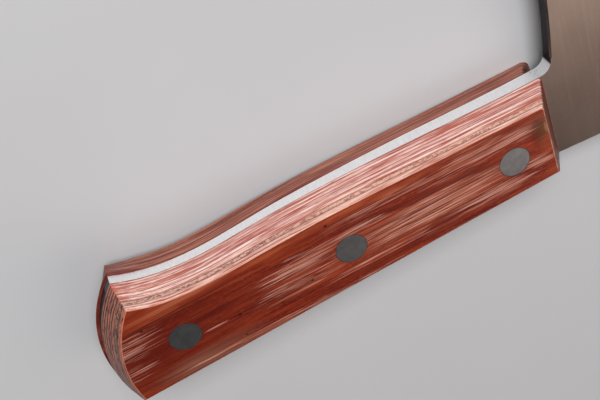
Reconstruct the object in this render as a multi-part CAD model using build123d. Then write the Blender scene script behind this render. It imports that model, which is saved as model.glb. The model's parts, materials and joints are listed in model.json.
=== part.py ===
from build123d import *
import math
import os

# Meat cleaver: one steel blade with a full tang, two laminated wood scales and three cutler's rivets.
#
# Working frame, used while the pieces are shaped: origin at the middle rivet, in the blade's mid-plane;
# +X towards the toe, +Y towards the cutting edge, +Z out of the left side. Millimetres throughout.
# At the end every piece is turned into the resting frame: the cleaver lies on its right side.

# ---- Handle: driving dimensions ----
handle_thickness = 18.4
rivet_spacing = 43.5
tang_half_rear = 1.32           # half thickness of the tang behind the taper
blade_half = 1.85               # half thickness of the blade's parallel body
taper_start_x = -20.0           # the tang thickens from here ...
taper_end_x = 60.0              # ... to the heel of the blade
glue_film = 0.18

# Belly line from the flared butt to the front end: x, y at the tang's edge, and how much lower the
# edge of a scale's outer face runs there.
belly_points = [(-52.4, 18.1, 2.75), (-46.4, 15.55, 2.3), (-39.0, 13.85, 2.1),
                (-31.0, 13.3, 1.95), (-16.0, 14.1, 2.15), (4.0, 14.55, 2.35),
                (26.0, 14.15, 2.5), (46.0, 13.4, 2.2), (57.6, 13.3, 2.25)]
belly_rear_slope = -0.5
belly_front_slope = 0.01
spine_slope = 0.022             # the handle's back closes slowly towards the blade
spine_at_rivet = -12.35
butt_x = -62.7                  # rear end of the tang at the back edge
butt_mid = (-61.1, 4.2)
front_corner_radius = 1.2

# How far the flat outer face of a scale lies inside its outline at the tang. Both front ends slant
# the same way, so the left one's face is cut back and the right one's runs forward.
butt_inset = 3.2
spine_inset = 1.4
front_inset = {"left": 4.0, "right": -4.2}
front_setback = {"left": 0.0, "right": 2.5}     # how far a scale stops behind the tang's front
butt_corner_inset = {"left": 0.9, "right": -0.5}
face_corner_radius = {"left": 0.8, "right": 2.0}
arris_break = 0.2               # depth of the broken corner round the outer face
arris_spread = 0.08             # its width, as a share of the insets above

# The right scale stands a little proud of the tang round the butt.
butt_overhang = {"left": 0.0, "right": 0.8}
flare_overhang = {"left": 0.0, "right": 0.6}
flare_start_x = -33.0

# The back of a scale is square to the face and only rounded near it: height, share of the belly's
# and the ends' inset reached there, share of the back's inset.
back_rounding = [(7.3, 0.74, 0.1), (8.4, 0.89, 0.42)]

# Glue joints between the plies, measured out from the tang's side. The plies lie parallel to it.
ply_joints = [0.85, 1.62, 2.46, 3.34, 4.2, 5.38, 6.45]

# ---- Blade: driving dimensions ----
choil_radius = 3.7
heel_lean = 0.5                 # how far the choil stops short of a quarter turn
heel_hollow = 2.3               # depth of the heel edge's hollow curve
heel_corner = (61.2, 78.0)
toe_x = 247.5                   # the toe is square to the rivet line
toe_edge_y = 74.5
toe_spine_y = -19.4
toe_spine_radius = 9.0
toe_edge_radius = 2.5
edge_crown = 5.0                # rise of the curved cutting edge over its chord
spine_start_slope = -5.0        # degrees, where the spine leaves the handle
grind_height = 34.0             # primary grind, measured from the cutting edge
grind_half = 0.42               # half thickness where the grind meets the edge bevel
bevel_height = 1.4
edge_half = 0.06
heel_break = 0.45               # broken corner along the heel's two edges
hang_hole_radius = 5.0
hang_hole_centre = (228.5, 0.5)

# ---- Rivets ----
head_radius = 4.0
head_depth = 2.6
barrel_radius = 2.5
pin_radius = 1.55
barrel_gap = 0.2                # free length left when the two halves are pressed home
pin_gap = 0.5

toe_edge_corner = (toe_x, toe_edge_y)
toe_spine_corner = (toe_x, toe_spine_y)
half = handle_thickness / 2
rivet_x = {"rear": -rivet_spacing, "middle": 0.0, "front": rivet_spacing}
front_x, front_y = belly_points[-1][:2]
margin = 5.0                    # how far cutting tools reach past what they cut


def spine_line_y(x):
    """Height of the handle's back edge at the tang."""
    return spine_at_rivet + spine_slope * x


def belly_curve(end_shift, inset, flare=0.0):
    """Belly line for a share of the inset, with its two ends moved inwards and its butt raised by flare."""
    butt_corner_x = belly_points[0][0]
    points = []
    for x, y, drop in belly_points:
        share = (flare_start_x - x) / (flare_start_x - butt_corner_x)
        points.append((x, y - drop * inset + flare * max(share, 0)))
    points[0] = (points[0][0] + end_shift[0], points[0][1])
    points[-1] = (points[-1][0] - end_shift[1], points[-1][1])
    slopes = [(1, belly_rear_slope), (1, belly_front_slope)]
    return Spline(*points, tangents=slopes, tangent_scalars=[1, 1])


def butt_curve(top, inset, bottom_y):
    """Convex butt end from the flared belly corner down to the back edge."""
    return ThreePointArc(top, (butt_mid[0] + inset, butt_mid[1]), (butt_x + inset, bottom_y))


def handle_face(side, inset, back_share):
    """Outline of a scale: at the tang for inset 0, on the outer face for inset 1."""
    front_shift = front_setback[side] + front_inset[side] * inset
    end_shift = (butt_corner_inset[side] * inset, front_shift)
    belly = belly_curve(end_shift, inset, flare_overhang[side] * (1 - inset))
    butt_shift = butt_inset * inset - butt_overhang[side] * (1 - inset)
    rear = butt_x + butt_shift
    front = front_x - front_shift
    back = Line((rear, spine_line_y(rear) + spine_inset * back_share),
                (front, spine_line_y(front) + spine_inset * back_share))
    butt = butt_curve(belly @ 0, butt_shift, (back @ 0).Y)
    outline = make_face(Curve([belly, Line(belly @ 1, back @ 1), back, butt]))
    corner = outline.vertices().sort_by(Axis((0, 0, 0), (1, 1, 0)))[-1]
    radius = front_corner_radius + (face_corner_radius[side] - front_corner_radius) * inset
    return fillet(corner, radius)


def steel_half_thickness(x):
    """Half thickness of the forging at a place along its length."""
    share = (x - taper_start_x) / (taper_end_x - taper_start_x)
    return tang_half_rear + (blade_half - tang_half_rear) * min(max(share, 0), 1)


def steel_envelope(extra):
    """Solid between the blade's two side faces, grown by extra on each side."""
    stations = [butt_x - margin, taper_start_x, taper_end_x, toe_x + margin]
    left = [(x, steel_half_thickness(x) + extra) for x in stations]
    right = [(x, -z) for x, z in reversed(left)]
    section = Plane.XZ * make_face(Polyline(*left, *right, close=True))
    return extrude(section, 2 * toe_edge_y, both=True)


def edge_arc():
    """Curved cutting edge from the heel corner to the toe."""
    (x0, y0), (x1, y1) = heel_corner, toe_edge_corner
    return ThreePointArc(heel_corner, ((x0 + x1) / 2, (y0 + y1) / 2 + edge_crown), toe_edge_corner)


def blade_face():
    """Side view of the whole forging: tang, choil, heel, edge, toe and spine."""
    belly = belly_curve((0, 0), 0)
    front = belly @ 1
    choil_top = (front.X + choil_radius - heel_lean, front.Y + choil_radius)
    choil = TangentArc(front, choil_top, tangent=(1, belly_front_slope))
    choil_end = choil @ 1
    heel_middle = ((choil_end.X + heel_corner[0]) / 2 + heel_hollow, (choil_end.Y + heel_corner[1]) / 2)
    heel = ThreePointArc(choil_end, heel_middle, heel_corner)
    back_front = (front_x, spine_line_y(front_x))
    slope = math.radians(spine_start_slope)
    spine = TangentArc(back_front, toe_spine_corner, tangent=(math.cos(slope), math.sin(slope)))
    back = Line((butt_x, spine_line_y(butt_x)), back_front)
    toe = Line(toe_edge_corner, toe_spine_corner)
    butt = butt_curve(belly @ 0, 0, spine_line_y(butt_x))
    outline = make_face(Curve([belly, choil, heel, edge_arc(), toe, spine, back, butt]))
    for corner, radius in [(toe_spine_corner, toe_spine_radius), (toe_edge_corner, toe_edge_radius)]:
        outline = fillet(outline.vertices().sort_by_distance((*corner, 0))[0], radius)
    return outline


def edge_grind():
    """Ring that grinds both sides of the blade down to the cutting edge, concentric with it."""
    arc = edge_arc().edge()
    centre, radius = arc.arc_center, arc.radius
    stations = [(radius - grind_height, blade_half), (radius - bevel_height, grind_half),
                (radius, edge_half), (radius + margin, edge_half)]
    outer = [(radius + margin, blade_half + margin), (radius - grind_height, blade_half + margin)]
    section = Plane.XZ * make_face(Polyline(*stations, *outer, close=True))
    ring = revolve(section, Axis.Z, 360)
    return Pos(centre.X, centre.Y, 0) * (ring + mirror(ring, Plane.XY))


def rod(radius, low, high):
    """Cylinder along Z between two heights."""
    return Pos(0, 0, low) * Cylinder(radius, high - low, align=(Align.CENTER, Align.CENTER, Align.MIN))


def at_rivets(shape):
    """The same shape at each of the three rivets."""
    return [Pos(x, 0, 0) * shape for x in rivet_x.values()]


def make_blade():
    """Blade and full tang, one piece of steel."""
    blade = extrude(blade_face(), 2 * blade_half, both=True) & steel_envelope(0)
    heel_edges = blade.edges().filter_by(
        lambda e: e.geom_type == GeomType.CIRCLE and abs(e.length - heel_length()) < 0.5)
    blade = chamfer(heel_edges, heel_break)
    blade = blade - edge_grind()
    blade = blade - Pos(*hang_hole_centre, 0) * rod(hang_hole_radius, -margin, margin)
    return blade - at_rivets(rod(barrel_radius, -margin, margin))


def heel_length():
    """Length of the heel's hollow edge."""
    chord = heel_corner[1] - front_y - choil_radius
    return chord * (1 + 8 / 3 * (heel_hollow / chord) ** 2)


def make_scale_block(side):
    """A scale before it is drilled: bevelled sides, flat outer face, seated on the glue film."""
    spread = 1 + arris_spread
    sections = [(blade_half, 0, 0), *back_rounding, (half - arris_break, 1, 1), (half, spread, spread)]
    outlines = [Pos(0, 0, z) * handle_face(side, inset, back) for z, inset, back in sections]
    block = extrude(handle_face(side, 0, 0), blade_half)
    for lower, upper in zip(outlines, outlines[1:]):
        block = block + loft([lower, upper], ruled=True)
    return block - steel_envelope(glue_film)


def make_plies(side):
    """A scale's veneers, outermost first, as they lie on the left side."""
    drill = rod(barrel_radius, 0, half + margin) + rod(head_radius, half - head_depth, half + margin)
    block = make_scale_block(side) - at_rivets(drill)
    plies = []
    for joint in reversed(ply_joints):
        inner = steel_envelope(joint)
        plies.append(block - inner)
        block = block & inner
    return [*plies, block]


def make_glue(side):
    """Film of resin between the tang and a scale, as it lies on the left side."""
    film = extrude(handle_face("left", 0, 0), half) & (steel_envelope(glue_film) - steel_envelope(0))
    if side == "right":
        film = film & extrude(handle_face("right", 0, 0), half)
    return film - at_rivets(rod(barrel_radius, -half, half))


def make_rivet_socket():
    """Left half of a cutler's rivet: a flush head with a tubular barrel."""
    head = rod(head_radius, half - head_depth, half)
    barrel = rod(barrel_radius, -half + head_depth + barrel_gap, half - head_depth)
    bore = rod(pin_radius, -half, half - head_depth)
    return head + barrel - bore


def make_rivet_pin():
    """Right half of a cutler's rivet: a flush head with a solid pin pressed into the barrel."""
    head = rod(head_radius, -half, -half + head_depth)
    return head + rod(pin_radius, -half + head_depth, half - head_depth - pin_gap)


def build():
    """Every node in the working frame."""
    nodes = {"blade_with_tang": make_blade()}
    for number, ply in enumerate(make_plies("left"), start=1):
        nodes[f"left_scale_ply_{number}"] = ply
    for number, ply in enumerate(make_plies("right"), start=1):
        nodes[f"right_scale_ply_{number}"] = mirror(ply, Plane.XY)
    nodes["left_glue_film"] = make_glue("left")
    nodes["right_glue_film"] = mirror(make_glue("right"), Plane.XY)
    for place, x in rivet_x.items():
        nodes[f"{place}_rivet_socket"] = Pos(x, 0, 0) * make_rivet_socket()
        nodes[f"{place}_rivet_pin"] = Pos(x, 0, 0) * make_rivet_pin()
    return nodes


def resting_place(shapes):
    """Turn and move that lay the cleaver on its right side.

    It rests on the front corner of the right scale's outer face and on the toe, so it tips by a
    small angle about Y. The origin goes under the middle of its box, on the surface.
    """
    corner_x = front_x - front_setback["right"] - front_inset["right"] * (1 + arris_spread)
    tip = math.degrees(math.atan2(half - blade_half, toe_x - corner_x))
    turn = Rot(0, tip, 0)
    box = Compound(children=[turn * shape for shape in shapes]).bounding_box()
    return Pos(-box.center().X, -box.center().Y, -box.min.Z) * turn


nodes = build()
resting = resting_place(nodes.values())
os.makedirs("parts", exist_ok=True)
for name, shape in nodes.items():
    export_step(resting * shape, f"parts/{name}.step")
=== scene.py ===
import json
import math

import bpy
from mathutils import Matrix, Vector


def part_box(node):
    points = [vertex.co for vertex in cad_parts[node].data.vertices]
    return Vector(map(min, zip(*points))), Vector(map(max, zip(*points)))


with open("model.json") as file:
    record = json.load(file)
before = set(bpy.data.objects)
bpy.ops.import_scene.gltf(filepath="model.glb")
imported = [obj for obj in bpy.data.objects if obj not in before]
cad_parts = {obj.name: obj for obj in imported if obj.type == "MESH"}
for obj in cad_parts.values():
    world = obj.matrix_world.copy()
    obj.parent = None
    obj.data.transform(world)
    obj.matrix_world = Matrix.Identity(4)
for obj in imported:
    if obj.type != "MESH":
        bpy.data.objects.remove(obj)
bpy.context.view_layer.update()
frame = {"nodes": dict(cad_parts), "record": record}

# Looks of the meat cleaver: satin steel, dyed and resin-filled veneers, flush rivets.
# The materials are drawn in the blade's own frame, in millimetres: origin at the middle rivet in
# the blade's mid-plane, +X towards the toe, +Y towards the cutting edge, +Z out of the left side.
# The shares and scales in the materials were set one by one.

MM = 0.001
SIDES = ("left", "right")

# ---- Sizes of the object that its surface pattern follows, in millimetres ----
TANG_HALF_REAR = 1.32           # half thickness of the tang's rear part
BLADE_HALF = 1.85               # half thickness of the blade
TAPER_START = -20.0             # x where the tang starts to thicken
TAPER_LENGTH = 80.0
SCALE_FACE = 9.2                # height of a scale's outer face over the mid-plane
ARRIS_HEIGHT = (SCALE_FACE - 0.25, SCALE_FACE - 0.15)   # the broken corner round the outer face, which gets a painted highlight
RIVET_PITCH = 43.5
RIVET_RADIUS = 4.0
RIVET_RING = (RIVET_RADIUS - 0.3, RIVET_RADIUS - 0.02)  # the thin dark ring round a head
RIVET_PLACES = {"rear": -RIVET_PITCH, "middle": 0.0, "front": RIVET_PITCH}
# Glue joints between the plies, from the tang's side. The first and last draw no line.
PLY_JOINTS = (-2.0, 0.85, 1.62, 2.46, 3.34, 4.2, 5.38, 6.45, 20.0)
PLIES = len(PLY_JOINTS) - 1
CROSS_PLY = 2                   # the ply whose fibres run across the handle, counted from outside
GLUE_LINE = (0.24, 0.07)        # distances from a joint where its dark line starts and is full

# How squarely a surface has to face an axis: where it starts to count, and where it counts fully.
OUTER_FACE = (0.8, 0.95)
BLADE_SIDE = (0.6, 0.85)
SCALE_END = (0.45, 0.75)
BELLY_SIDE = (0.5, 0.8)
TANG_END = (-0.5, -0.8)

# ---- Stage: the floor, and the light and the camera in the blade's frame ----
FLOOR_HALF = 3.0                # metres
FLOOR_DROP = 0.00005            # metres, so that the floor and the cleaver don't share a plane
# Name, place and aim in millimetres, width and height in metres, watts, colour.
SOFTBOXES = (
    ("key_light", (-40, 760, 860), (0, 0, 0), (0.6, 0.5), 13.6, (1.0, 1.0, 1.0)),
    ("back_light", (530, -300, 800), (40, 0, 0), (0.85, 0.85), 2.3, (1.0, 0.87, 0.79)),
)
WALL_COLOUR = (0.93, 0.96, 1.0, 1.0)
# The walls' strength goes from To Min to To Max as the row frame's Y goes between the other two.
WALL_LEVELS = {"From Min": -0.2, "From Max": 0.6, "To Min": 0.03, "To Max": 0.26}
CAMERA_PLACE = Vector((-17.63, 171.04, 189.04))
CAMERA_AIM = Vector((-6.01, 20.36, 9.2))
CAMERA_ROLL = math.radians(-25.4)
SENSOR_WIDTH = 36.0
FOCAL_LENGTH = 63.975
CLIP_START = 0.005              # metres


# ---- The blade's frame in the row frame ----
def node_middle(*names):
    """Middle of the box round some CAD nodes."""
    corners = [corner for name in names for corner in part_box(name)]
    lows = [min(c[i] for c in corners) for i in range(3)]
    highs = [max(c[i] for c in corners) for i in range(3)]
    return (Vector(lows) + Vector(highs)) / 2


def blade_frame():
    """Matrix that takes blade-frame millimetres to the row frame's metres."""
    mounts = {mount["name"]: mount for mount in frame["record"]["mounts"]}
    out = Vector(mounts["left_blade_side"]["axis"]).normalized()
    rivets = {place: node_middle(f"{place}_rivet_socket", f"{place}_rivet_pin")
              for place in RIVET_PLACES}
    forward = (rivets["front"] - rivets["rear"]).normalized()
    down = out.cross(forward).normalized()
    forward = down.cross(out)
    turn = Matrix((forward, down, out)).transposed()
    return Matrix.Translation(rivets["middle"]) @ turn.to_4x4() @ Matrix.Scale(MM, 4)


BLADE = blade_frame()
BLADE_PLACE = BLADE.to_translation()
BLADE_TURN = BLADE.to_3x3().normalized()


# ---- Node helpers ----
def srgb(red, green, blue):
    """Colour given as 0 to 255 screen values, made linear."""
    def linear(value):
        value /= 255
        return value / 12.92 if value <= 0.04045 else ((value + 0.055) / 1.055) ** 2.4
    return (linear(red), linear(green), linear(blue), 1.0)


class Field:
    """A number that varies over a surface, with arithmetic."""

    def __init__(self, shader, socket):
        self.shader = shader
        self.socket = socket

    def math(self, operation, *others):
        node = self.shader.add("ShaderNodeMath", operation=operation)
        for socket, value in zip(node.inputs, (self, *others)):
            self.shader.put(socket, value)
        return Field(self.shader, node.outputs[0])

    def __add__(self, other):
        return self.math("ADD", other)

    def __sub__(self, other):
        return self.math("SUBTRACT", other)

    def __rsub__(self, other):
        """Other minus this field."""
        return self.math("MULTIPLY_ADD", -1.0, other)

    def __mul__(self, other):
        return self.math("MULTIPLY", other)

    def __truediv__(self, other):
        return self.math("DIVIDE", other)

    def __abs__(self):
        return self.math("ABSOLUTE")

    def most(self, other):
        return self.math("MAXIMUM", other)

    def clamp(self):
        node = self.shader.add("ShaderNodeClamp")
        self.shader.put(node.inputs["Value"], self)
        return Field(self.shader, node.outputs[0])

    def fade(self, low, high):
        """0 at low, 1 at high, smooth between them; high may be the smaller one."""
        node = self.shader.add("ShaderNodeMapRange", interpolation_type="SMOOTHSTEP")
        self.shader.put(node.inputs["Value"], self)
        self.shader.put(node.inputs["From Min"], low)
        self.shader.put(node.inputs["From Max"], high)
        return Field(self.shader, node.outputs[0])


class Shader:
    """One material's node tree, drawn in the blade's frame."""

    def __init__(self, name, seed=0.0):
        self.material = bpy.data.materials.new(name)
        self.material.use_nodes = True
        self.tree = self.material.node_tree
        self.tree.nodes.clear()
        self.seed = seed
        spot = self.add("ShaderNodeTexCoord").outputs["Object"]
        mapping = self.add("ShaderNodeMapping", vector_type="TEXTURE")
        self.put(mapping.inputs["Vector"], spot)
        mapping.inputs["Location"].default_value = BLADE_PLACE
        mapping.inputs["Rotation"].default_value = BLADE_TURN.to_euler()
        mapping.inputs["Scale"].default_value = (MM, MM, MM)
        split = self.add("ShaderNodeSeparateXYZ")
        self.put(split.inputs[0], mapping.outputs[0])
        self.x, self.y, self.z = (Field(self, out) for out in split.outputs)

    def add(self, kind, **settings):
        node = self.tree.nodes.new(kind)
        for key, value in settings.items():
            setattr(node, key, value)
        return node

    def put(self, socket, value):
        if isinstance(value, Field):
            value = value.socket
        if isinstance(value, bpy.types.NodeSocket):
            self.tree.links.new(value, socket)
        else:
            socket.default_value = value

    def facing(self, axis):
        """How far the surface faces along one of the blade frame's axes, from -1 to 1."""
        geometry = self.add("ShaderNodeNewGeometry")
        node = self.add("ShaderNodeVectorMath", operation="DOT_PRODUCT")
        self.put(node.inputs[0], geometry.outputs["True Normal"])
        self.put(node.inputs[1], BLADE_TURN.col[axis])
        return Field(self, node.outputs["Value"])

    def vector(self, x, y, z):
        node = self.add("ShaderNodeCombineXYZ")
        for socket, value in zip(node.inputs, (x, y, z)):
            self.put(socket, value)
        return node.outputs[0]

    def noise(self, x, y, z, detail=2.0, roughness=0.5, shift=0.0):
        """Noise over fields that already carry their own scales. Each shift gives another draw."""
        node = self.add("ShaderNodeTexNoise", noise_dimensions="4D")
        self.put(node.inputs["Vector"], self.vector(x, y, z))
        node.inputs["W"].default_value = self.seed + shift
        node.inputs["Scale"].default_value = 1.0
        node.inputs["Detail"].default_value = detail
        node.inputs["Roughness"].default_value = roughness
        return Field(self, node.outputs[0])

    def mix(self, share, first, second, blend="MIX"):
        node = self.add("ShaderNodeMix", data_type="RGBA", blend_type=blend)
        self.put(node.inputs[0], share)
        self.put(node.inputs[6], first)
        self.put(node.inputs[7], second)
        return node.outputs[2]

    def patch(self, x, y, centre, radii, soft=0.5):
        """1 inside an ellipse, 0 outside, soft at its edge."""
        along = (x - centre[0]) / radii[0]
        across = (y - centre[1]) / radii[1]
        reach = (along * along + across * across).math("SQRT")
        return reach.fade(1 + soft, 1 - soft)

    def bump(self, height, strength, distance=0.0001):
        node = self.add("ShaderNodeBump")
        node.inputs["Strength"].default_value = strength
        node.inputs["Distance"].default_value = distance
        self.put(node.inputs["Height"], height)
        return node.outputs[0]

    def finish(self, colour, roughness, normal=None, metallic=None, **constants):
        """Closes the tree with one principled surface, whose constants go on its own sockets."""
        surface = self.add("ShaderNodeBsdfPrincipled")
        self.put(surface.inputs["Base Color"], colour)
        self.put(surface.inputs["Roughness"], roughness)
        if normal is not None:
            self.put(surface.inputs["Normal"], normal)
        if metallic is not None:
            self.put(surface.inputs["Metallic"], metallic)
        for name, value in constants.items():
            surface.inputs[name.replace("_", " ")].default_value = value
        output = self.add("ShaderNodeOutputMaterial")
        self.put(output.inputs["Surface"], surface.outputs[0])
        return self.material


def paint(name, material):
    """Gives a CAD node its material."""
    node = frame["nodes"][name]
    for slot in node.material_slots:
        slot.material = material
    if not node.material_slots:
        node.data.materials.append(material)


# ---- Wood ----
def depth_over_tang(shader):
    """Distance from the tang's side face, square to it."""
    share = ((shader.x - TAPER_START) / TAPER_LENGTH).clamp()
    return abs(shader.z) - TANG_HALF_REAR - share * (BLADE_HALF - TANG_HALF_REAR)


def glue_lines(shader, depth, number, shift):
    """Dark lines along both of a ply's glue joints, fainter in places."""
    wander = shader.noise(shader.x * 0.05, shader.y * 0.2, depth * 2.0, detail=1.0, shift=shift)
    place = PLIES - number
    inner, outer = (abs(depth - joint).fade(*GLUE_LINE) for joint in PLY_JOINTS[place:place + 2])
    return inner.most(outer) * wander.fade(0.15, 0.5)


# Tint of each ply's cut edge, outermost first: pale ground and the darker streaks in it.
PLY_TINTS = (
    (srgb(214, 168, 152), srgb(166, 96, 78)),
    (srgb(186, 134, 112), srgb(112, 66, 54)),
    (srgb(230, 186, 172), srgb(176, 92, 78)),
    (srgb(234, 196, 186), srgb(184, 104, 92)),
    (srgb(222, 172, 160), srgb(162, 78, 68)),
    (srgb(230, 188, 178), srgb(176, 94, 84)),
    (srgb(222, 174, 162), srgb(164, 80, 70)),
    (srgb(218, 170, 158), srgb(160, 78, 68)),
)
# The right scale's plies are painted darker and browner, for the shade on the side turned from the
# light, and take other draws of the noise.
RIGHT_SIDE_SHADE = (0.62, 0.36, 0.26, 1.0)
SEED_STEP = 3.7
SEED_START = {"left": 0.0, "right": 50.0}
FIGURE_SHIFT = {"left": 0.0, "right": 9.0}      # how far the outer face's figure lies to the rear
# One pore in the belly: its centre and radii along x and over the tang's face.
BELLY_PORE = ((36.6, 3.3), (0.22, 0.14))
BELLY_CORNER = (-51.3, -52.0)                   # x where the belly turns into the butt, and where an orange-red painted highlight lies


def edge_grain(shader, depth, number):
    """Colour of a ply where it is cut: long fibres on the belly and back, end grain on the ends."""
    x, y = shader.x, shader.y
    pale, deep = PLY_TINTS[number - 1]
    ends = abs(shader.facing(0)).fade(*SCALE_END)
    long_fibre = shader.noise(x * 0.045, y * 0.3, depth * 2.6, roughness=0.6, shift=1.0)
    fine_fibre = shader.noise(x * 0.11, y * 0.8, depth * 4.6, roughness=0.6, shift=2.0)
    vessels = shader.noise(x * 0.8, y * 0.16, depth * 3.6, detail=3.0, roughness=0.65, shift=3.0)
    broad = shader.noise(x * 0.03, y * 0.1, depth * 1.2, shift=4.0)
    dashes = shader.noise(x * 0.5, y * 1.5, depth * 5.0, shift=4.5)

    colour = shader.mix(long_fibre.fade(0.47, 0.57), pale, deep)
    colour = shader.mix(broad.fade(0.5, 0.64) * 0.4, colour, srgb(208, 130, 102))
    colour = shader.mix(fine_fibre.fade(0.52, 0.6) * 0.6, colour, srgb(244, 220, 210))
    colour = shader.mix(fine_fibre.fade(0.47, 0.38) * 0.7, colour, srgb(150, 66, 52))
    colour = shader.mix(dashes.fade(0.58, 0.68) * 0.45, colour, srgb(150, 74, 62))
    pore = shader.patch(x, depth, *BELLY_PORE) * shader.facing(1).fade(*BELLY_SIDE)
    colour = shader.mix(pore * 0.8, colour, srgb(84, 60, 62))
    # Painted highlight: the belly's corner at the butt is tinted orange-red, as where it catches
    # the light.
    corner = (x + (dashes - 0.5) * 2.0).fade(*BELLY_CORNER) * (1 - ends)
    colour = shader.mix(corner * 0.6, colour, srgb(200, 88, 56))

    end_colour = shader.mix(vessels.fade(0.4, 0.52), srgb(74, 30, 22), srgb(176, 108, 88))
    end_colour = shader.mix(fine_fibre.fade(0.52, 0.64) * 0.5, end_colour, srgb(96, 40, 30))
    # Painted shade: the end grain gets darker towards the front, where the scale's front end faces
    # away from the light and lies in the blade's shadow.
    end_colour = shader.mix(x.fade(0.0, 40.0) * 0.55, end_colour, srgb(80, 30, 24))
    colour = shader.mix(ends, colour, end_colour)

    lines = glue_lines(shader, depth, number, shift=5.0)
    line_colour = shader.mix(ends, srgb(140, 60, 50), srgb(44, 18, 14))
    return shader.mix(lines * (ends * 0.4 + 0.6), colour, line_colour), long_fibre


def cross_grain(shader, depth, number):
    """The speckled ply, whose fibres run across the handle: its end grain shows on the belly."""
    x, y = shader.x, shader.y
    specks = shader.noise(x * 1.1, y * 0.5, depth * 2.6, detail=3.0, roughness=0.75, shift=6.0)
    ticks = shader.noise(x * 2.4, y * 0.4, depth * 1.8, shift=7.5)
    broad = shader.noise(x * 0.08, y * 0.1, depth * 2.5, shift=7.0)

    # The specks get paler towards the front.
    front = x.fade(-50.0, 20.0)
    ground = shader.mix(front, srgb(202, 158, 142), srgb(218, 170, 150))
    dark = shader.mix(front, srgb(92, 52, 46), srgb(166, 104, 86))
    colour = shader.mix(specks.fade(0.42, 0.56), dark, ground)
    colour = shader.mix(ticks.fade(0.56, 0.66) * 0.5, colour, srgb(116, 64, 54))
    colour = shader.mix(broad.fade(0.5, 0.64) * 0.5, colour, srgb(222, 178, 160))

    ends = abs(shader.facing(0)).fade(*SCALE_END)
    end_colour = shader.mix(specks.fade(0.44, 0.58), srgb(62, 36, 26), srgb(156, 114, 92))
    colour = shader.mix(ends, colour, end_colour)
    lines = glue_lines(shader, depth, number, shift=8.0)
    return shader.mix(lines * 0.7, colour, srgb(104, 46, 38)), specks


# The outer face's figure, drawn as soft ellipses: centre, radii, strength.
# Warm pale wood between the darker bands, partly the wood's figure and partly a painted sheen.
GLOW = (
    ((20.0, -0.4), (19.0, 3.6), 1.0),
    ((4.0, 4.4), (7.0, 0.9), 0.7),
    ((-40.0, 11.2), (10.0, 0.9), 0.9),
    ((-12.0, 3.0), (10.0, 2.0), 0.4),
    ((-12.0, -2.4), (10.0, 2.2), 0.35),
    ((36.0, 7.6), (12.0, 1.8), 0.35),
    ((49.6, -3.2), (3.6, 1.2), 0.6),
)
# Painted sheen along the back: a greyish pale reflection drawn into the colour.
SHEEN = (
    ((-40.0, -9.4), (12.0, 2.4), 0.9),
    ((-16.0, -10.9), (16.0, 0.9), 0.7),
)
# Where pale lines are drawn over the red.
STREAKS = (
    ((-56.0, 4.6), (9.0, 3.2), 0.8),
    ((-57.0, -3.6), (7.0, 2.8), 0.6),
    ((-12.0, 3.6), (11.0, 2.4), 1.0),
    ((-14.0, -1.6), (12.0, 3.4), 0.7),
    ((14.0, 8.4), (18.0, 1.6), 0.8),
    ((36.0, 7.4), (15.0, 2.6), 1.0),
    ((20.0, -0.4), (20.0, 4.0), 1.0),
    ((4.0, 4.6), (8.0, 1.2), 0.9),
    ((8.0, -6.4), (13.0, 1.3), 0.75),
    ((36.0, -5.4), (13.0, 2.4), 0.8),
    ((49.6, -3.2), (4.0, 1.7), 1.0),
    ((-36.0, -2.0), (3.0, 0.5), 0.7),
    ((-10.0, -10.4), (34.0, 0.9), 0.75),
)
DARK_BANDS = (
    ((-35.0, 2.9), (9.0, 0.8), 0.9),
    ((-52.0, 7.9), (2.6, 0.4), 0.9),
    ((-50.0, 0.4), (9.0, 1.4), 0.5),
    ((28.0, -5.4), (11.0, 1.3), 0.8),
    ((12.0, -8.2), (26.0, 0.9), 0.6),
    ((50.2, 4.6), (1.4, 3.4), 0.7),
)
PORES = (                       # x, y and radius of each
    (-3.4, 10.0, 0.34),
    (-9.0, 11.9, 0.2),
    (-30.0, -1.9, 0.36),
    (-20.0, -4.9, 0.24),
    (-11.4, -3.1, 0.26),
    (-31.0, -8.7, 0.22),
    (-51.2, 7.8, 0.3),
)
VEIN_Y = 8.9                                    # height of a thin dark vein
VEIN_AREA = ((-42.0, 8.8), (13.0, 3.0))         # centre and radii of these four
SLANTED_BAND = ((19.0, 6.3), (24.0, 0.8))
FRONT_STAIN = ((51.8, 5.6), (1.7, 3.6))
FRONT_GLINT = ((53.0, 5.4), (0.4, 1.5))


def figure(shader, x, y, parts):
    """The strongest of some soft ellipses at each place."""
    total = None
    for centre, radii, strength in parts:
        area = shader.patch(x, y, centre, radii, soft=0.7) * strength
        total = area if total is None else total.most(area)
    return total


def face_ground(shader, x, y, streaks, hairs, cloud):
    """Deep red wood, darker to the rear, with an orange band along the belly and round the rim."""
    flecks = shader.noise(x * 0.8, y * 3.4, 0.0, roughness=0.6, shift=12.5)
    colour = shader.mix(cloud.fade(0.35, 0.65), srgb(104, 20, 8), srgb(146, 50, 20))
    colour = shader.mix(hairs.fade(0.5, 0.58) * 0.65, colour, srgb(74, 12, 6))
    colour = shader.mix(hairs.fade(0.46, 0.38) * 0.35, colour, srgb(166, 76, 46))
    colour = shader.mix(flecks.fade(0.54, 0.66) * 0.45, colour, srgb(168, 76, 48))
    colour = shader.mix(x.fade(2.0, -50.0) * 0.55, colour, srgb(80, 15, 8))

    belly_band = (y + streaks * 1.6).fade(8.4, 10.8)
    front_rim = (x + (cloud - 0.5) * 4.0).fade(49.6, 52.0)
    back_corner = (x * 0.25 + y + cloud * 2.0).fade(-21.6, -24.2)
    rim = front_rim.most(back_corner)
    orange = shader.mix(cloud.fade(0.38, 0.62), srgb(132, 44, 20), srgb(168, 80, 46))
    orange = shader.mix(hairs.fade(0.5, 0.62) * 0.6, orange, srgb(104, 30, 14))
    return shader.mix((belly_band * 0.85).most(rim * 0.5), colour, orange)


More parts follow.
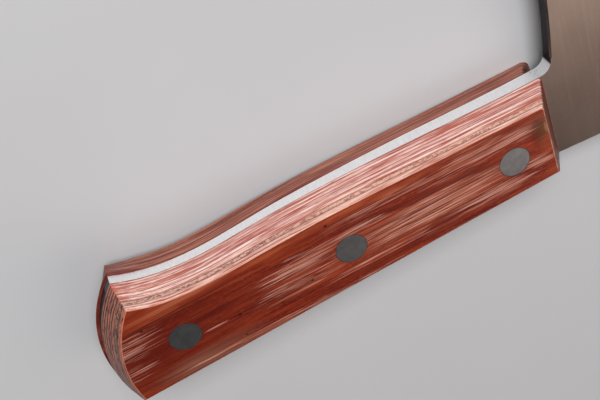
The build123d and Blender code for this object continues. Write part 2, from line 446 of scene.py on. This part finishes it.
def pale_streaks(shader, colour, x, y, zone, streaks, hairs):
    """Pale lines and the dark gaps between them, where the figure is streaked."""
    edge = zone.fade(0.0, 0.5)
    patchy = shader.noise(x * 0.09, y * 0.9, 0.0, roughness=0.6, shift=12.8).fade(0.35, 0.62)
    lines = (streaks + (zone - 0.8) * 0.2).fade(0.5, 0.58) * edge * (patchy * 0.7 + 0.3)
    fine = (hairs + (zone - 0.8) * 0.15).fade(0.52, 0.6) * edge
    gaps = streaks.fade(0.48, 0.4) * edge
    colour = shader.mix(gaps * 0.7, colour, srgb(88, 16, 9))
    colour = shader.mix(lines * 0.65, colour, srgb(190, 124, 104))
    return shader.mix(fine * (patchy * 0.35 + 0.35), colour, srgb(214, 158, 140))


def face_figure(shader, shift):
    """Colour of a scale's outer face, and its streaks and hair lines for relief and roughness."""
    x, y = shader.x + shift, shader.y
    wave = shader.noise(x * 0.05, y * 0.12, 0.0, shift=9.0)
    y_wavy = y + (wave - 0.5) * 2.4
    streaks = shader.noise(x * 0.04, y * 2.1, 0.0, roughness=0.45, shift=10.0)
    hairs = shader.noise(x * 0.08, y * 4.2, 0.0, shift=11.0)
    cloud = shader.noise(x * 0.05, y * 0.5, 0.0, detail=4.0, roughness=0.6, shift=12.0)
    colour = face_ground(shader, x, y, streaks, hairs, cloud)

    glow = figure(shader, x, y_wavy, GLOW)
    # Partly the wood's pale figure, partly a painted sheen.
    colour = shader.mix(glow * (cloud.fade(0.3, 0.6) * 0.5 + 0.35), colour, srgb(164, 88, 60))
    # Painted sheen: a greyish pale reflection along the back.
    sheen = figure(shader, x, y_wavy, SHEEN)
    colour = shader.mix(sheen * (streaks.fade(0.35, 0.6) * 0.5 + 0.3), colour, srgb(150, 100, 80))

    vein = abs(y - VEIN_Y + wave * 0.4).fade(0.26, 0.08) * shader.patch(x, y, *VEIN_AREA)
    colour = shader.mix(vein * 0.85, colour, srgb(44, 12, 8))
    dark = figure(shader, x, y_wavy, DARK_BANDS)
    colour = shader.mix(dark * 0.8, colour, srgb(80, 14, 7))

    zone = figure(shader, x, y_wavy, STREAKS)
    colour = pale_streaks(shader, colour, x, y, zone, streaks, hairs)
    slanted = shader.patch(x, y_wavy + x * 0.09, *SLANTED_BAND, soft=0.6)
    colour = shader.mix(slanted * (hairs.fade(0.6, 0.4) * 0.4 + 0.45), colour, srgb(86, 14, 7))

    stain = shader.patch(x, y, *FRONT_STAIN, soft=0.7)
    colour = shader.mix(stain * 0.6, colour, srgb(70, 50, 26))
    glint = shader.patch(x, y, *FRONT_GLINT, soft=0.8)
    colour = shader.mix(glint * 0.4, colour, srgb(170, 138, 96))
    for pore_x, pore_y, radius in PORES:
        pore = shader.patch(x, y, (pore_x, pore_y), (radius * 1.3, radius))
        colour = shader.mix(pore * 0.85, colour, srgb(34, 10, 8))
    return colour, streaks, hairs


def with_outer_face(shader, side, face, colour, relief, roughness):
    """Puts the figure on the outermost ply's face, and a warm painted highlight along the arris
    round it.
    """
    face_colour, streaks, hairs = face_figure(shader, FIGURE_SHIFT[side])
    colour = shader.mix(face, colour, face_colour)
    relief = streaks * face + relief * (1 - face)
    roughness = roughness - face * 0.08 + hairs * 0.06
    # Painted highlight along the arris round the outer face.
    arris = abs(shader.z).fade(*ARRIS_HEIGHT) * (1 - face)
    return shader.mix(arris * 0.45, colour, srgb(196, 112, 76)), relief, roughness


def right_side_shade_and_bands(shader, colour, depth, rim):
    """Paints shade that turns the cut edges darker and browner, with dark and pale bands, a painted
    highlight near the outer edge, and a dark seam at the tang that is partly a glue line and partly
    painted shadow.
    """
    # Painted shade on the right scale's cut edges.
    colour = shader.mix(rim, colour, RIGHT_SIDE_SHADE, "MULTIPLY")
    bands = shader.noise(shader.x * 0.05, shader.y * 0.3, depth * 1.5, shift=30.0)
    colour = shader.mix(bands.fade(0.5, 0.58) * rim * 0.7, colour, srgb(112, 42, 28))
    colour = shader.mix(bands.fade(0.48, 0.4) * rim * 0.55, colour, srgb(204, 134, 102))
    # Painted highlight: lighter wood near the outer edge, where the rounded corner catches the
    # light.
    outer = depth.fade(6.4, 7.2) * rim * bands.fade(0.6, 0.45)
    colour = shader.mix(outer * 0.6, colour, srgb(178, 96, 66))
    # Partly a glue line, partly painted shadow along the tang.
    seam = depth.fade(0.7, 0.3) * rim
    return shader.mix(seam * 0.8, colour, srgb(90, 26, 20))


def veneer(side, number):
    """Material of one ply of one scale."""
    shader = Shader(f"{side}_veneer_{number}", seed=number * SEED_STEP + SEED_START[side])
    depth = depth_over_tang(shader)
    grain = cross_grain if number == CROSS_PLY else edge_grain
    colour, relief = grain(shader, depth, number)
    roughness = relief * 0.2 + 0.38
    face = 0.0
    if number == 1:
        face = abs(shader.facing(2)).fade(*OUTER_FACE)
        colour, relief, roughness = with_outer_face(shader, side, face, colour, relief, roughness)
    if side == "right":
        colour = right_side_shade_and_bands(shader, colour, depth, 1 - face)
    normal = shader.bump(relief, 0.35, distance=0.00008)
    return shader.finish(colour, roughness, normal, Specular_IOR_Level=0.35, Coat_Weight=0.06,
                         Coat_Roughness=0.35)


def resin():
    """Thin reddish film between the tang and a scale."""
    shader = Shader("resin")
    fleck = shader.noise(shader.x * 0.8, shader.y * 0.8, shader.z * 2.0)
    colour = shader.mix(fleck.fade(0.4, 0.7), srgb(136, 66, 56), srgb(176, 102, 86))
    return shader.finish(colour, fleck * 0.2 + 0.4, shader.bump(fleck, 0.2))


# ---- Steel ----
# Where the blade's surface changes: the two values at which a change starts and is complete.
HEEL_Y = (14.9, 15.6)           # where the heel's painted shade starts, from the choil towards the cutting edge, and at the toe too
HEEL_X = (50.0, 56.0)
TANG_REAR_X = (-50.0, -52.0)
CHOIL_X = (53.0, 60.0)
SATIN_SHADE_Y = (46.0, 2.0)           # painted shade: the satin darkens from the first towards the tang's level, for the darker reflection there
CHOIL_SPECKS = ((57.0, -0.3), (2.2, 1.1))       # centre and radii along x and across the edge


def blade_steel():
    """Satin sides, a bright ground tang edge, and painted shade that turns the heel's edge and the
    tang's end near black.
    """
    shader = Shader("blade_steel")
    x, y, z = shader.x, shader.y, shader.z
    side = abs(shader.facing(2)).fade(*BLADE_SIDE)
    scratches = shader.noise(x * 0.35 + y * 0.6, y * 9.0 - x * 5.0, z * 0.2,
                             detail=3.0, roughness=0.7)
    cloud = shader.noise(x * 0.03, y * 0.03, z * 0.1, detail=3.0, shift=1.0)
    brush = shader.noise(x * 7.0, y * 0.6, z * 0.5, detail=3.0, roughness=0.7, shift=2.0)
    pits = shader.noise(x * 1.2, y * 1.2, z * 1.6, detail=4.0, roughness=0.7, shift=3.0)
    bands = shader.noise(x * 0.7, y * 0.03, z * 0.1, detail=3.0, roughness=0.6, shift=4.0)

    satin = shader.mix(cloud.fade(0.3, 0.7), srgb(146, 130, 121), srgb(162, 146, 137))
    satin = shader.mix(bands.fade(0.5, 0.7) * 0.22, satin, srgb(190, 174, 166))
    # Painted shade: a darker reflection towards the tang's level, drawn into the satin's colour.
    satin = shader.mix((y + cloud * 12.0).fade(*SATIN_SHADE_Y) * 0.55, satin, srgb(100, 86, 80))
    satin = shader.mix(scratches.fade(0.55, 0.75) * 0.25, satin, srgb(196, 186, 180))
    ground = shader.mix(brush.fade(0.35, 0.7), srgb(236, 235, 236), srgb(252, 251, 251))
    ground = shader.mix(x.fade(*CHOIL_X) * 0.55, ground, srgb(176, 178, 184))
    colour = shader.mix(side, ground, satin)

    # Painted shade: the heel's edge and the tang's end are coloured near black for the shadow and
    # dark reflections on them.
    heel = y.fade(*HEEL_Y) * x.fade(*HEEL_X)
    tang_end = shader.facing(0).fade(*TANG_END) * x.fade(*TANG_REAR_X)
    shaded_edges = heel.most(tang_end)
    black = shader.mix(pits.fade(0.35, 0.7), srgb(5, 5, 5), srgb(22, 21, 21))
    colour = shader.mix(shaded_edges * (1 - side), colour, black)
    specks = shader.patch(x, z, *CHOIL_SPECKS) * pits.fade(0.55, 0.62) * (1 - side)
    colour = shader.mix(specks * 0.8, colour, srgb(70, 70, 78))

    roughness = 0.42 - side * 0.18 + brush * 0.1
    # The ground edge is less of a mirror than the rest.
    metal = ((1 - side) * (1 - shaded_edges)) * -0.35 + 1.0
    relief = scratches * side + brush * (1 - side) * 0.4
    normal = shader.bump(relief, 0.12, distance=0.00005)
    return shader.finish(colour, roughness, normal, metal)


def rivet_steel(place, x_mm):
    """Flush head sanded with the wood, with a thin dark ring where it meets it."""
    shader = Shader(f"{place}_rivet_steel", seed=x_mm)
    x, y, z = shader.x - x_mm, shader.y, shader.z
    brush = shader.noise(x * 0.5, y * 8.0, z * 0.5, detail=3.0, roughness=0.7)
    stain = shader.noise(x * 0.5, y * 0.5, z * 0.5, detail=3.0, shift=1.0)
    ring = (x * x + y * y).math("SQRT").fade(*RIVET_RING)
    colour = shader.mix(stain.fade(0.3, 0.7), srgb(164, 165, 168), srgb(184, 184, 186))
    colour = shader.mix(ring * 0.85, colour, srgb(48, 38, 36))
    roughness = brush * 0.12 + 0.3 + ring * 0.2
    normal = shader.bump(brush, 0.15, distance=0.00005)
    return shader.finish(colour, roughness, normal, Metallic=1.0)


# ---- Materials on the CAD nodes ----
for side in SIDES:
    for number in range(1, PLIES + 1):
        paint(f"{side}_scale_ply_{number}", veneer(side, number))
film = resin()
for side in SIDES:
    paint(f"{side}_glue_film", film)
paint("blade_with_tang", blade_steel())
for place, x_mm in RIVET_PLACES.items():
    steel = rivet_steel(place, x_mm)
    for half in ("socket", "pin"):
        paint(f"{place}_rivet_{half}", steel)


# ---- Floor ----
def make_floor():
    """Pale board under the cleaver."""
    half = FLOOR_HALF
    mesh = bpy.data.meshes.new("floor")
    corners = [(-half, -half, 0), (half, -half, 0), (half, half, 0), (-half, half, 0)]
    mesh.from_pydata(corners, [], [(0, 1, 2, 3)])
    floor = bpy.data.objects.new("floor", mesh)
    bpy.context.scene.collection.objects.link(floor)
    floor.location.z = -FLOOR_DROP
    shader = Shader("floor")
    grain = shader.noise(shader.x * 0.02, shader.y * 0.02, 0.0, detail=3.0)
    colour = shader.mix(grain, srgb(192, 192, 194), srgb(198, 198, 200))
    mesh.materials.append(shader.finish(colour, 0.7))


make_floor()


# ---- Light and camera ----
def softbox(name, place, aim, size, power, colour):
    """Area light placed in the blade's frame."""
    light = bpy.data.lights.new(name, "AREA")
    light.shape = "RECTANGLE"
    light.size, light.size_y = size
    light.energy = power
    light.color = colour
    lamp = bpy.data.objects.new(name, light)
    bpy.context.scene.collection.objects.link(lamp)
    start = BLADE @ Vector(place)
    lamp.location = start
    lamp.rotation_euler = (BLADE @ Vector(aim) - start).to_track_quat("-Z", "Y").to_euler()


for row in SOFTBOXES:
    softbox(*row)


def studio_walls():
    """Dim surroundings, brighter on the side that the belly faces."""
    world = bpy.data.worlds.new("world")
    world.use_nodes = True
    nodes, links = world.node_tree.nodes, world.node_tree.links
    background = nodes["Background"]
    background.inputs["Color"].default_value = WALL_COLOUR
    direction = nodes.new("ShaderNodeTexCoord").outputs["Generated"]
    split = nodes.new("ShaderNodeSeparateXYZ")
    links.new(direction, split.inputs[0])
    level = nodes.new("ShaderNodeMapRange")
    level.interpolation_type = "SMOOTHSTEP"
    links.new(split.outputs["Y"], level.inputs["Value"])
    for name, value in WALL_LEVELS.items():
        level.inputs[name].default_value = value
    links.new(level.outputs[0], background.inputs["Strength"])
    return world


bpy.context.scene.world = studio_walls()
bpy.context.scene.view_settings.view_transform = "Standard"


def make_camera():
    """Camera over the belly side, rolled so that the handle rises to the right."""
    ahead = (CAMERA_AIM - CAMERA_PLACE).normalized()
    level = ahead.cross(Vector((0, 1, 0))).normalized()
    upright = level.cross(ahead)
    right = level * math.cos(CAMERA_ROLL) + upright * math.sin(CAMERA_ROLL)
    up = right.cross(ahead)
    turn = BLADE_TURN @ Matrix((right, up, -ahead)).transposed()
    data = bpy.data.cameras.new("camera")
    data.sensor_width = SENSOR_WIDTH
    data.lens = FOCAL_LENGTH
    data.clip_start = CLIP_START
    camera = bpy.data.objects.new("camera", data)
    camera.matrix_world = Matrix.Translation(BLADE @ CAMERA_PLACE) @ turn.to_4x4()
    bpy.context.scene.collection.objects.link(camera)
    bpy.context.scene.camera = camera


make_camera()
